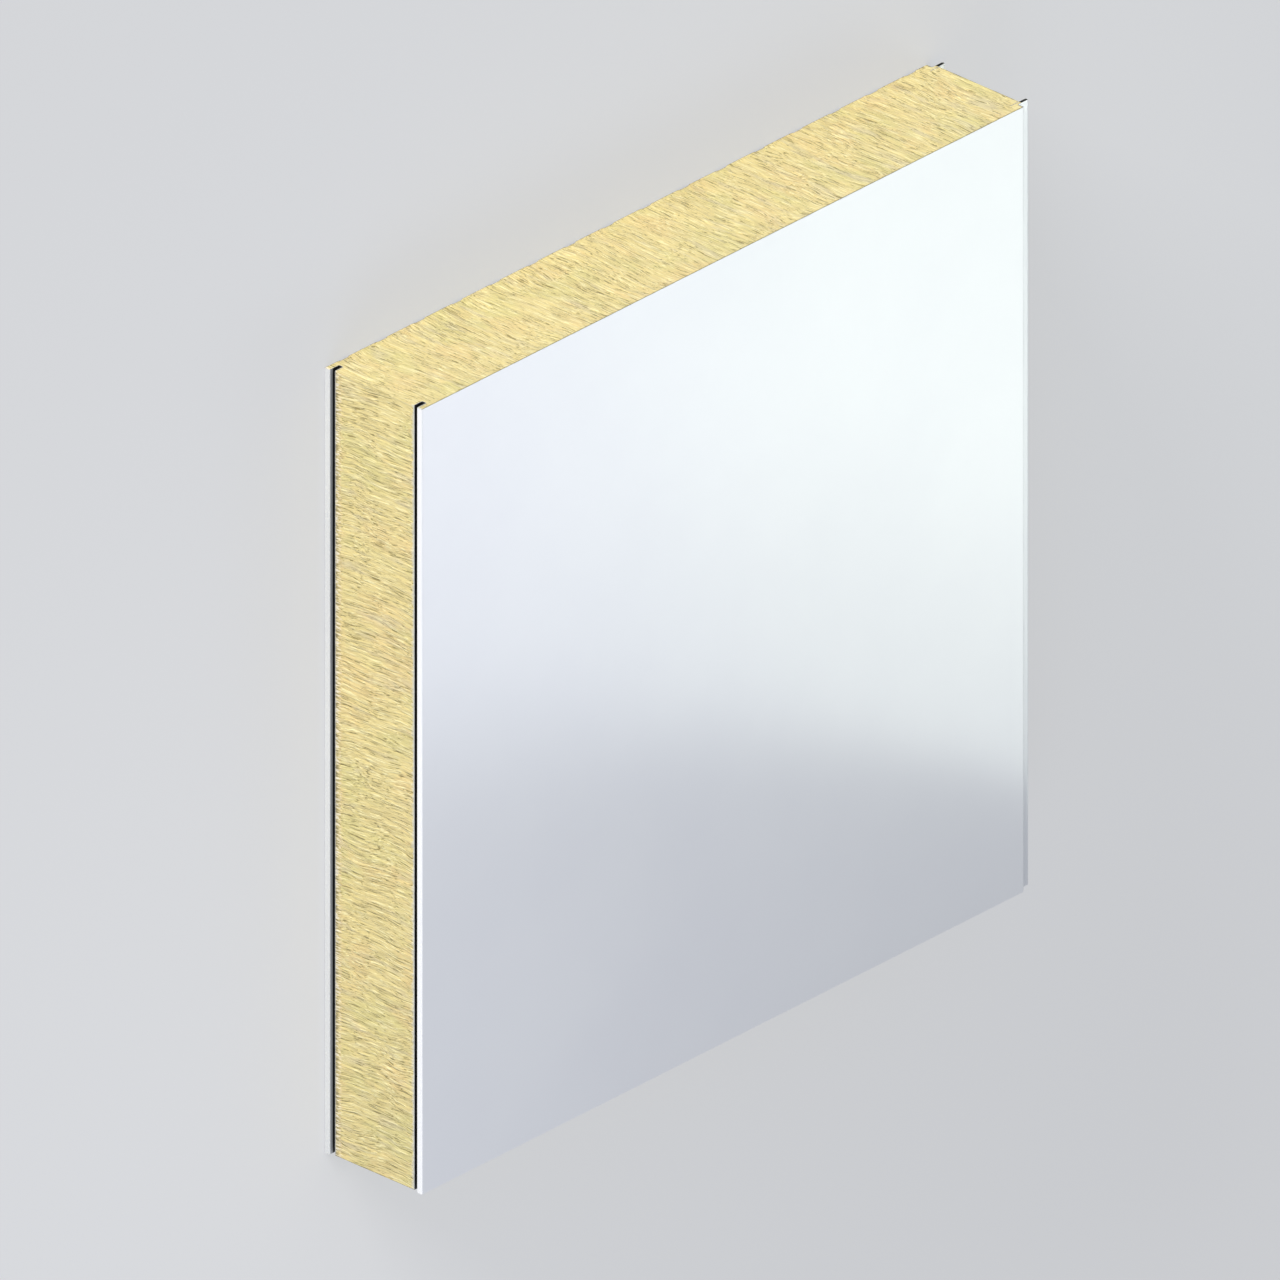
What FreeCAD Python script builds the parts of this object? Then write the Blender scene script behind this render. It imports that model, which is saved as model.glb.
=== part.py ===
"""Insulated sandwich panel: two roll-formed steel facings bonded to a stone wool core.

The panel lies flat. X runs across the cover width, from the groove edge (-X) to the tongue
edge (+X). Y runs along the panel between its two cut ends. Z runs through the thickness, with
the lined inner facing down on Z = 0 and the smooth outer facing up.

Every section is drawn in (x, z) from the groove edge of the inner facing, then moved so that
the origin is the centre of the panel's underside. Millimetres.
"""

import FreeCAD, Part
import math
import os

# --- Overall sizes --------------------------------------------------------------------------
cover_width = 1000.0        # width that one panel covers in a wall, groove nose to groove nose
panel_length = 1000.0       # between the two cut ends
panel_thickness = 150.0     # over both facings

# --- Sheet ----------------------------------------------------------------------------------
outer_sheet = 0.6           # steel gauge of the smooth outer facing
inner_sheet = 0.5           # steel gauge of the lined inner facing
bend_radius = 1.2           # inside radius of the folds of both joint edges

# --- Joint: what one facing's two edges share -----------------------------------------------
joint_gap = 3.0             # gap left between two facings when panels are joined
nose_depth = 8.0            # thickness of the nose that covers the groove
groove_width = 6.0          # clear width of the groove behind the nose
groove_depth = 16.0         # from the nose to the bottom of the groove
tongue_side_clearance = 0.5  # on each side of the tongue in the groove
tongue_end_clearance = 2.0  # between the tongue's tip and the bottom of the groove
tongue_tail = 8.0           # how far the folded-back tongue leg is buried behind the facing end

# --- Core -----------------------------------------------------------------------------------
core_recess = 3.0           # core face behind the nose on the groove edge
core_clearance = 0.5        # between two cores when panels are joined
bond_line = 0.2             # adhesive between the core and each sheet

# --- Lining grooves of the inner facing -----------------------------------------------------
lining_pitch = 62.5         # from one shallow groove to the next
lining_mouth = 20.5         # width of a shallow groove at the face
lining_floor = 11.5         # width of its flat floor
lining_depth = 1.5          # how far it is pressed into the panel
lining_bend = 3.0           # radius of its four soft bends, at mid sheet

# --- Sizes that follow ----------------------------------------------------------------------
facing_end = cover_width - joint_gap
groove_far = nose_depth + groove_width
tongue_near = nose_depth + tongue_side_clearance
tongue_far = groove_far - tongue_side_clearance
tongue_tip = facing_end + joint_gap + groove_depth - tongue_end_clearance
core_tongue_face = facing_end + joint_gap + core_recess - core_clearance
lining_count = int(cover_width // lining_pitch)
lining_start = (cover_width - (lining_count - 1) * lining_pitch) / 2
origin_x = tongue_tip / 2


def bend(x, depth, radius):
    """Return one corner of a fold path: place, depth below the face, mid-sheet radius."""
    return (x, depth, radius)


def groove_edge(sheet):
    """Return the fold path from the groove's inner lip, round the nose, up to the face."""
    mid = sheet / 2
    fold = bend_radius + mid
    return [
        bend(core_recess, groove_far + mid, 0),
        bend(groove_depth + mid, groove_far + mid, fold),
        bend(groove_depth + mid, nose_depth - mid, fold),
        bend(mid, nose_depth - mid, fold),
        bend(mid, mid, fold),
    ]


def tongue_edge(sheet):
    """Return the fold path from the face, down the facing end, round the tongue, into the core."""
    mid = sheet / 2
    fold = bend_radius + mid
    hem = (tongue_far - tongue_near - sheet) / 2
    return [
        bend(facing_end - mid, mid, fold),
        bend(facing_end - mid, tongue_near + mid, fold),
        bend(tongue_tip - mid, tongue_near + mid, hem),
        bend(tongue_tip - mid, tongue_far - mid, hem),
        bend(facing_end - tongue_tail, tongue_far - mid, 0),
    ]


def lining(sheet):
    """Return the fold path across the face with its row of shallow pressed grooves."""
    mid = sheet / 2
    corners = []
    for index in range(lining_count):
        centre = lining_start + index * lining_pitch
        corners.append(bend(centre - lining_mouth / 2, mid, lining_bend))
        corners.append(bend(centre - lining_floor / 2, mid + lining_depth, lining_bend))
        corners.append(bend(centre + lining_floor / 2, mid + lining_depth, lining_bend))
        corners.append(bend(centre + lining_mouth / 2, mid, lining_bend))
    return corners


def outer_path():
    """Return the smooth outer facing's fold path in (x, z, radius)."""
    corners = groove_edge(outer_sheet) + tongue_edge(outer_sheet)
    return [(x, panel_thickness - depth, radius) for x, depth, radius in corners]


def inner_path():
    """Return the lined inner facing's fold path in (x, z, radius)."""
    return groove_edge(inner_sheet) + lining(inner_sheet) + tongue_edge(inner_sheet)


def direction(start, end):
    """Return the unit vector from one corner to the next, and their distance."""
    across = end[0] - start[0]
    rise = end[1] - start[1]
    distance = math.hypot(across, rise)
    return across / distance, rise / distance


def shifted_corners(path, shift):
    """Return the path moved sideways to its left by shift, with concentric bend radii."""
    ways = [direction(path[i], path[i + 1]) for i in range(len(path) - 1)]
    moved = []
    for i, (x, z, radius) in enumerate(path):
        before = ways[max(i - 1, 0)]
        after = ways[min(i, len(ways) - 1)]
        turn = before[0] * after[1] - before[1] * after[0]
        reach = shift / (1 + before[0] * after[0] + before[1] * after[1])
        left_x = -(before[1] + after[1]) * reach
        left_z = (before[0] + after[0]) * reach
        tighter = shift * math.copysign(1, turn)
        moved.append((x + left_x, z + left_z, radius - tighter if radius else 0))
    return moved


def point(x, z):
    """Return a point of the section at the panel's near cut end."""
    return FreeCAD.Vector(x - origin_x, -panel_length / 2, z)


def line(start, end):
    """Return a straight edge between two points."""
    return Part.LineSegment(start, end).toShape()


def bent_edges(corners):
    """Return the straight and arc edges of an open path of rounded corners."""
    edges = []
    here = point(corners[0][0], corners[0][1])
    for i in range(1, len(corners) - 1):
        x, z, radius = corners[i]
        before = direction(corners[i - 1], corners[i])
        after = direction(corners[i], corners[i + 1])
        cosine = before[0] * after[0] + before[1] * after[1]
        half_turn = math.acos(max(-1.0, min(1.0, cosine))) / 2
        setback = radius * math.tan(half_turn)
        bulge = radius * (1 / math.cos(half_turn) - 1)
        inward = math.hypot(after[0] - before[0], after[1] - before[1])
        arc_start = point(x - before[0] * setback, z - before[1] * setback)
        arc_middle = point(
            x + (after[0] - before[0]) / inward * bulge,
            z + (after[1] - before[1]) / inward * bulge,
        )
        arc_end = point(x + after[0] * setback, z + after[1] * setback)
        if here.distanceToPoint(arc_start) > 1e-6:
            edges.append(line(here, arc_start))
        edges.append(Part.Arc(arc_start, arc_middle, arc_end).toShape())
        here = arc_end
    edges.append(line(here, point(corners[-1][0], corners[-1][1])))
    return edges


def closed_face(*runs):
    """Return the flat face inside several open runs of edges, joined end to start by lines."""
    edges = []
    for index, run in enumerate(runs):
        edges += run
        following = runs[(index + 1) % len(runs)]
        edges.append(line(last_point(run), first_point(following)))
    return Part.Face(Part.Wire(Part.__sortEdges__(edges)))


def first_point(run):
    """Return where a run of edges starts."""
    return run[0].valueAt(run[0].FirstParameter)


def last_point(run):
    """Return where a run of edges ends."""
    return run[-1].valueAt(run[-1].LastParameter)


def reversed_path(path):
    """Return the same corners in the opposite order."""
    return list(reversed(path))


def sheet_section(path, sheet):
    """Return the cross-section of a sheet of the given gauge folded along a path."""
    left = shifted_corners(path, sheet / 2)
    right = shifted_corners(path, -sheet / 2)
    return closed_face(bent_edges(left), bent_edges(reversed_path(right)))


def bonded_section(path, sheet):
    """Return a sheet's cross-section thickened by the adhesive all round, to cut from the core."""
    (x0, z0, _), (x1, z1, _) = path[0], path[-1]
    longer = [(x0 - bond_line, z0, 0)] + path[1:-1] + [(x1 - bond_line, z1, 0)]
    return sheet_section(longer, sheet + 2 * bond_line)


def rectangle(x_low, z_low, x_high, z_high):
    """Return a rectangular face of the section."""
    corners = [point(x_low, z_low), point(x_high, z_low), point(x_high, z_high), point(x_low, z_high)]
    return Part.Face(Part.makePolygon(corners + corners[:1]))


def along_panel(section):
    """Return the solid made by running a cross-section from one cut end to the other."""
    return section.extrude(FreeCAD.Vector(0, panel_length, 0))


def outer_facing():
    """Return the smooth outer facing with its nose, groove and tongue folded from one sheet."""
    return along_panel(sheet_section(outer_path(), outer_sheet))


def inner_facing():
    """Return the lined inner facing with the same joint edges."""
    return along_panel(sheet_section(inner_path(), inner_sheet))


def wool_core():
    """Return the one-piece stone wool core, square with the facings at both cut ends.

    It is what lies between the two folded sheets, with the block between the two tongues,
    which stands out past the facings as far as the core's own edge.
    """
    between = closed_face(bent_edges(outer_path()), bent_edges(reversed_path(inner_path())))
    tongue_middle = (tongue_near + tongue_far) / 2
    tongue_block = rectangle(
        cover_width / 2, tongue_middle, core_tongue_face, panel_thickness - tongue_middle
    )
    core_reach = rectangle(-joint_gap, 0, core_tongue_face, panel_thickness)
    wool = along_panel(between).fuse(along_panel(tongue_block)).common(along_panel(core_reach))
    wool = wool.cut(along_panel(bonded_section(outer_path(), outer_sheet)))
    wool = wool.cut(along_panel(bonded_section(inner_path(), inner_sheet)))
    return wool.removeSplitter()


def save(name, shape):
    """Write one piece to its own STEP file as one valid solid."""
    solids = shape.Solids
    if len(solids) != 1 or not solids[0].isValid():
        raise ValueError(f"{name} is not one valid solid: {len(solids)} solids")
    solids[0].exportStep(f"parts/{name}.step")
    print(f"{name}: {solids[0].Volume / 1e6:.4f} litres")


os.makedirs("parts", exist_ok=True)
save("outer_facing", outer_facing())
save("inner_facing", inner_facing())
save("wool_core", wool_core())
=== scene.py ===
"""Looks of a steel-faced stone wool sandwich panel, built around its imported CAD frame.

Two sheets of prepainted steel, each folded into a nose, a groove and a tongue, are bonded to a
core of sawn stone wool. The sheets are folded again here with finer bends, and the core gets
the torn relief of sawn wool on its open faces. Everything is in metres.
"""

import logging
import math
from collections.abc import Callable
from dataclasses import dataclass, field
from enum import Enum
from functools import partial

import bpy
import numpy as np
from mathutils import Matrix, Vector, geometry


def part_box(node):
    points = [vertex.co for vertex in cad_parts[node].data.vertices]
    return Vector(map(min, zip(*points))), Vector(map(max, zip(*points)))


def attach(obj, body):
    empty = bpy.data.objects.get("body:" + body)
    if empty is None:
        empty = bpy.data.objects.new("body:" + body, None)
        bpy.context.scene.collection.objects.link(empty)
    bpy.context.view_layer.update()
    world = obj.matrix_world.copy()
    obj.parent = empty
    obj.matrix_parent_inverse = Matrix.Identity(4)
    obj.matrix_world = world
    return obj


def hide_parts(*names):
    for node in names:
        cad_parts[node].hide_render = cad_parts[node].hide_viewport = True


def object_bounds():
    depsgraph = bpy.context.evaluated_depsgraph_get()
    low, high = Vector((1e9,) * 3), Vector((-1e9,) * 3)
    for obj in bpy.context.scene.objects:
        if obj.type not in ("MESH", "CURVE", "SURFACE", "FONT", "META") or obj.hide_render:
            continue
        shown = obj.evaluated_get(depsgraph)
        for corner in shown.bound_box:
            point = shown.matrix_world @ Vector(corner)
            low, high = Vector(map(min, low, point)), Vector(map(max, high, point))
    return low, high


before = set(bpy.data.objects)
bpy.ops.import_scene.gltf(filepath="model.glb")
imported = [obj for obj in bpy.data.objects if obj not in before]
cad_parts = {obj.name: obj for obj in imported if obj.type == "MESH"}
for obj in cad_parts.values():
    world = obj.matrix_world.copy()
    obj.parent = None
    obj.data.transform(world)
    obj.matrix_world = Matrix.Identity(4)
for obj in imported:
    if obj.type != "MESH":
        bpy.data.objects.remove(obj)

LOG = logging.getLogger("sandwich_panel")
MM = 0.001
BODY = "root"
CAD_BOX = [list(corner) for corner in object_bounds()]
LOW, HIGH = (Vector(corner) for corner in CAD_BOX)

Socket = bpy.types.NodeSocket
Adder = Callable[..., bpy.types.Node]


# --- small helpers --------------------------------------------------------------------------


def linear(hex_colour: str) -> tuple[float, float, float, float]:
    """Turn an sRGB hex colour into the linear colour that shaders take.

    Args:
        hex_colour: six hex digits, with or without a leading #.

    Returns:
        Red, green, blue and an alpha of 1.
    """
    digits = hex_colour.lstrip("#")
    channels = [int(digits[i : i + 2], 16) / 255 for i in (0, 2, 4)]
    straight = [c / 12.92 if c <= 0.04045 else ((c + 0.055) / 1.055) ** 2.4 for c in channels]
    return (straight[0], straight[1], straight[2], 1.0)


def add_node(
    tree: bpy.types.NodeTree,
    kind: str,
    inputs: dict[int | str, object] | None = None,
    **settings: object,
) -> bpy.types.Node:
    """Add one node to a tree, set it up and link it.

    Args:
        tree: the shader or geometry tree that gets the node.
        kind: the node's type name; a shader node's stands without its ShaderNode in front.
        inputs: socket name or number, with its value, the output to link to it, or the node
            whose first output to link to it.
        **settings: the node's own properties; stops gives a colour ramp's places and hex colours.

    Returns:
        The new node.
    """
    node = tree.nodes.new(kind if "Node" in kind else f"ShaderNode{kind}")
    for index, (position, colour) in enumerate(settings.pop("stops", [])):
        if index == len(node.color_ramp.elements):
            node.color_ramp.elements.new(1.0)
        node.color_ramp.elements[index].position = position
        node.color_ramp.elements[index].color = linear(colour)
    for name, value in settings.items():
        setattr(node, name, value)
    for key, value in (inputs or {}).items():
        if isinstance(value, bpy.types.Node):
            value = value.outputs[0]
        if isinstance(value, Socket):
            tree.links.new(value, node.inputs[key])
        else:
            node.inputs[key].default_value = value
    return node


def new_material(name: str) -> tuple[bpy.types.Material, Adder]:
    """Make an empty node material.

    Args:
        name: the finish's name.

    Returns:
        The material, and add_node for its tree, which has no nodes yet.
    """
    material = bpy.data.materials.new(name)
    material.use_nodes = True
    material.node_tree.nodes.clear()
    return material, partial(add_node, material.node_tree)


def new_geometry_tree(name: str, inputs: dict[str, float | int]) -> bpy.types.NodeTree:
    """Make a Geometry Nodes tree with a geometry input, a geometry output and named inputs.

    Args:
        name: the tree's name.
        inputs: input name and default value; a whole number makes an integer input.

    Returns:
        The tree, which holds no nodes yet.
    """
    tree = bpy.data.node_groups.new(name, "GeometryNodeTree")
    tree.interface.new_socket("Geometry", in_out="INPUT", socket_type="NodeSocketGeometry")
    for label, default in inputs.items():
        kind = "NodeSocketInt" if isinstance(default, int) else "NodeSocketFloat"
        socket = tree.interface.new_socket(label, in_out="INPUT", socket_type=kind)
        socket.default_value = default
    tree.interface.new_socket("Geometry", in_out="OUTPUT", socket_type="NodeSocketGeometry")
    return tree


def add_geometry(
    piece: bpy.types.Object, tree: bpy.types.NodeTree, values: dict[str, float]
) -> None:
    """Put a Geometry Nodes modifier on a piece and set its inputs.

    Args:
        piece: the object that gets the modifier.
        tree: the modifier's tree.
        values: input name, as the tree gives it, and value.
    """
    modifier = piece.modifiers.new(tree.name, "NODES")
    modifier.node_group = tree
    for item in tree.interface.items_tree:
        if item.item_type == "SOCKET" and item.in_out == "INPUT" and item.name in values:
            modifier[item.identifier] = values[item.name]


def link_object(name: str, data: bpy.types.ID) -> bpy.types.Object:
    """Make an object at the origin and put it in the scene.

    Args:
        name: the object's name.
        data: its mesh, light or camera.

    Returns:
        The object.
    """
    made = bpy.data.objects.new(name, data)
    bpy.context.scene.collection.objects.link(made)
    return made


def hand_over(piece: bpy.types.Object, node: str) -> None:
    """Turn a piece's modifiers into its plain mesh and put it in the place of its CAD node.

    Args:
        piece: the object to finish.
        node: the CAD node that it stands for.
    """
    graph = bpy.context.evaluated_depsgraph_get()
    mesh = bpy.data.meshes.new_from_object(
        piece.evaluated_get(graph), preserve_all_data_layers=True, depsgraph=graph
    )
    piece.modifiers.clear()
    piece.data = mesh
    mesh.name = piece.name
    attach(piece, BODY)
    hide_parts(node)
    LOG.info("%s: %d faces", piece.name, len(mesh.polygons))


def drifted(
    add: Adder, place: Socket, width: float, reach: float, seed: Socket | None = None
) -> Socket:
    """Bend coordinates so that the streaks laid on them wander, as combed wool does.

    Args:
        add: adds a node to the tree.
        place: the coordinates.
        width: size of one bend.
        reach: how far a bend may carry a streak.
        seed: chooses the pattern, where the tree has such an input.

    Returns:
        The bent coordinates.
    """
    inputs = {"Vector": place, "Scale": 1 / width, "Detail": 1.0}
    if seed is None:
        drift = add("TexNoise", inputs)
    else:
        drift = add("TexNoise", inputs | {"W": seed}, noise_dimensions="4D")
    half = (0.5, 0.5, 0.5)
    off = add("VectorMath", {0: drift.outputs["Color"], 1: half}, operation="SUBTRACT")
    far = (reach, reach, reach)
    moved = add("VectorMath", {0: off, 1: far, 2: place}, operation="MULTIPLY_ADD")
    return moved.outputs["Vector"]


# --- finishes -------------------------------------------------------------------------------


@dataclass(frozen=True)
class CoilCoating:
    """Polyester coil coating on galvanised steel, roller-applied and stoved.

    The eye sees an even white with a satin gloss that mirrors large lights softly, and a faint
    orange peel about 2 mm across from the rollers. Inside the groove the coat is painted dark and
    matt as painted shade: a grey step a little way in from the nose, then near-black deeper in.

    Attributes:
        name: the material's name.
        colour: sRGB colour of the coat.
        shade: sRGB colour of its slightly darker patches.
        patch: size of those patches.
        roughness: satin gloss of the cured coat.
        peel: width of the orange peel's bumps.
        peel_height: height of those bumps.
        painted_groove_shade: sRGB colour of the painted shade inside the groove.
        painted_shade_roughness: dull gloss where that painted shade lies.
        groove: depth below the face at which the painted shade starts and ends.
        shade_plateau: how much of the coat the painted shade hides in its grey step.
        shade_onsets: distance from the nose to the grey step, to the full painted shade and to its end.
        blur: half the width over which the grey step and the full painted shade set in.
        ahead: how much nearer to the nose both start on the lip's side.
    """

    name: str = "white_polyester_coating"
    colour: str = "#F2F3F5"
    shade: str = "#EFF0F3"
    patch: float = 220 * MM
    roughness: float = 0.13
    peel: float = 2.2 * MM
    peel_height: float = 0.05 * MM
    painted_groove_shade: str = "#151616"
    painted_shade_roughness: float = 0.6
    groove: tuple[float, float] = (7.6 * MM, 14.1 * MM)
    shade_plateau: float = 0.35
    shade_onsets: tuple[float, float, float] = (2.1 * MM, 5.4 * MM, 20 * MM)
    blur: float = 0.4 * MM
    ahead: float = 4.4 * MM

    def make(self) -> bpy.types.Material:
        """Build the coat's material.

        Returns:
            The material.
        """
        material, add = new_material(self.name)
        place = add("TexCoord").outputs["Object"]
        patches = add(
            "TexNoise",
            {"Vector": place, "Scale": 1 / self.patch, "Detail": 3.0, "Roughness": 0.5},
        )
        shades = [(0.35, self.shade), (0.65, self.colour)]
        coat = add("ValToRGB", {"Fac": patches}, stops=shades)
        # painted shade: inside the groove the coat turns dark and matt where shade falls
        painted_groove_shade = self.painted_shade_cover(add, place)
        groove_shade_colour = linear(self.painted_groove_shade)
        colour = add("MixRGB", {"Fac": painted_groove_shade, "Color1": coat, "Color2": groove_shade_colour})
        peel = add("TexNoise", {"Vector": place, "Scale": 1 / self.peel, "Detail": 1.0})
        bump = add("Bump", {"Height": peel, "Strength": 0.04, "Distance": self.peel_height})
        gloss = add(
            "MapRange",
            {"Value": painted_groove_shade, "To Min": self.roughness, "To Max": self.painted_shade_roughness},
        )
        shader = add(
            "BsdfPrincipled",
            {"Base Color": colour, "Roughness": gloss, "IOR": 1.5, "Normal": bump},
        )
        add("OutputMaterial", {"Surface": shader})
        return material

    def painted_shade_cover(self, add: Adder, place: Socket) -> Socket:
        """Work out where the groove's painted shade lies.

        Args:
            add: adds a node to the tree.
            place: the object coordinates.

        Returns:
            How much of the coat the painted shade hides, from 0 to 1.
        """
        parts = add("SeparateXYZ", {"Vector": place}).outputs
        middle = (LOW.z + HIGH.z) / 2
        start, end = self.groove
        central = (HIGH.z - LOW.z) / 2 - (start + end) / 2
        above = add("Math", {0: parts["Z"], 1: middle}, operation="SUBTRACT")
        height = add("Math", {0: above}, operation="ABSOLUTE")
        tall = (end - start) / 2
        inside = add("Math", {0: height, 1: central, 2: tall}, operation="COMPARE")
        lip = add("Math", {0: height, 1: central}, operation="LESS_THAN")
        near = {0: lip, 1: self.ahead, 2: parts["X"]}
        reach = add("Math", near, operation="MULTIPLY_ADD")
        plateau_from, darkest_from, ended = (LOW.x + distance for distance in self.shade_onsets)
        # the painted shade's grey step, then its full dark
        plateau_part, full = (
            add(
                "MapRange",
                {
                    "Value": reach,
                    "From Min": begins - self.blur,
                    "From Max": begins + self.blur,
                    "To Max": share,
                },
            )
            for begins, share in ((plateau_from, self.shade_plateau), (darkest_from, 1 - self.shade_plateau))
        )
        thick = add("Math", {0: plateau_part, 1: full}, operation="ADD")
        ends = add("Math", {0: parts["X"], 1: ended}, operation="LESS_THAN")
        both = add("Math", {0: inside, 1: ends}, operation="MULTIPLY")
        return add("Math", {0: both, 1: thick}, operation="MULTIPLY").outputs["Value"]


@dataclass(frozen=True)
class MottledFinish:
    """A plain, flat finish whose colour wanders between two shades.

    Attributes:
        name: the material's name.
        dark: sRGB colour of its darker spots.
        light: sRGB colour of its lighter spots.
        mottle: size of the spots.
        blend: share of the noise's range, each way, over which one shade turns into the other.
        roughness: its gloss.
        metallic: how much of it is clean metal.
    """

    name: str
    dark: str
    light: str
    mottle: float
    blend: float
    roughness: float
    metallic: float = 0.0

    def make(self) -> bpy.types.Material:
        """Build the finish's material.

        Returns:
            The material.
        """
        material, add = new_material(self.name)
        place = add("TexCoord").outputs["Object"]
        spots = add("TexNoise", {"Vector": place, "Scale": 1 / self.mottle, "Detail": 2.0})
        shades = [(0.5 - self.blend, self.dark), (0.5 + self.blend, self.light)]
        colour = add("ValToRGB", {"Fac": spots}, stops=shades)
        shader = add(
            "BsdfPrincipled",
            {"Base Color": colour, "Metallic": self.metallic, "Roughness": self.roughness},
        )
        add("OutputMaterial", {"Surface": shader})
        return material


@dataclass(frozen=True)
class BackingCoat(MottledFinish):
    """Thin epoxy backing coat on the sheet's unseen side: drawn dark grey, partly as painted shade for
    the hollows inside the folds.
    """

    name: str = "grey_epoxy_backing_coat"
    # dark grey: partly painted shade for the hollows inside the sheet's folds
    dark: str = "#454642"
    light: str = "#575855"
    mottle: float = 3 * MM
    blend: float = 0.1
    roughness: float = 0.6


@dataclass(frozen=True)
class SawnSteelEdge(MottledFinish):
    """Edge of the sheet where the panel saw cut it: bare steel dulled by a smear of zinc.

    The marks of the saw are drawn coarser than the real ones, so that they show.
    """

    name: str = "sawn_steel_edge"
    dark: str = "#C4C6C8"
    light: str = "#E2E3E4"
    mottle: float = 1.5 * MM
    blend: float = 0.15
    roughness: float = 0.45
    metallic: float = 0.3


@dataclass(frozen=True)
class ResinLayer:
    """Drifts of wool that took up more or less resin and oil than the rest.

    Attributes:
        colour: their sRGB colour.
        across: width of a drift.
        along: length of a drift, through the panel.
        start: noise value at which a drift starts to show.
        full: noise value at which it shows most.
        most: how much of the wool's own colour it then hides.
    """

    colour: str
    across: float
    along: float
    start: float
    full: float
    most: float


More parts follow.
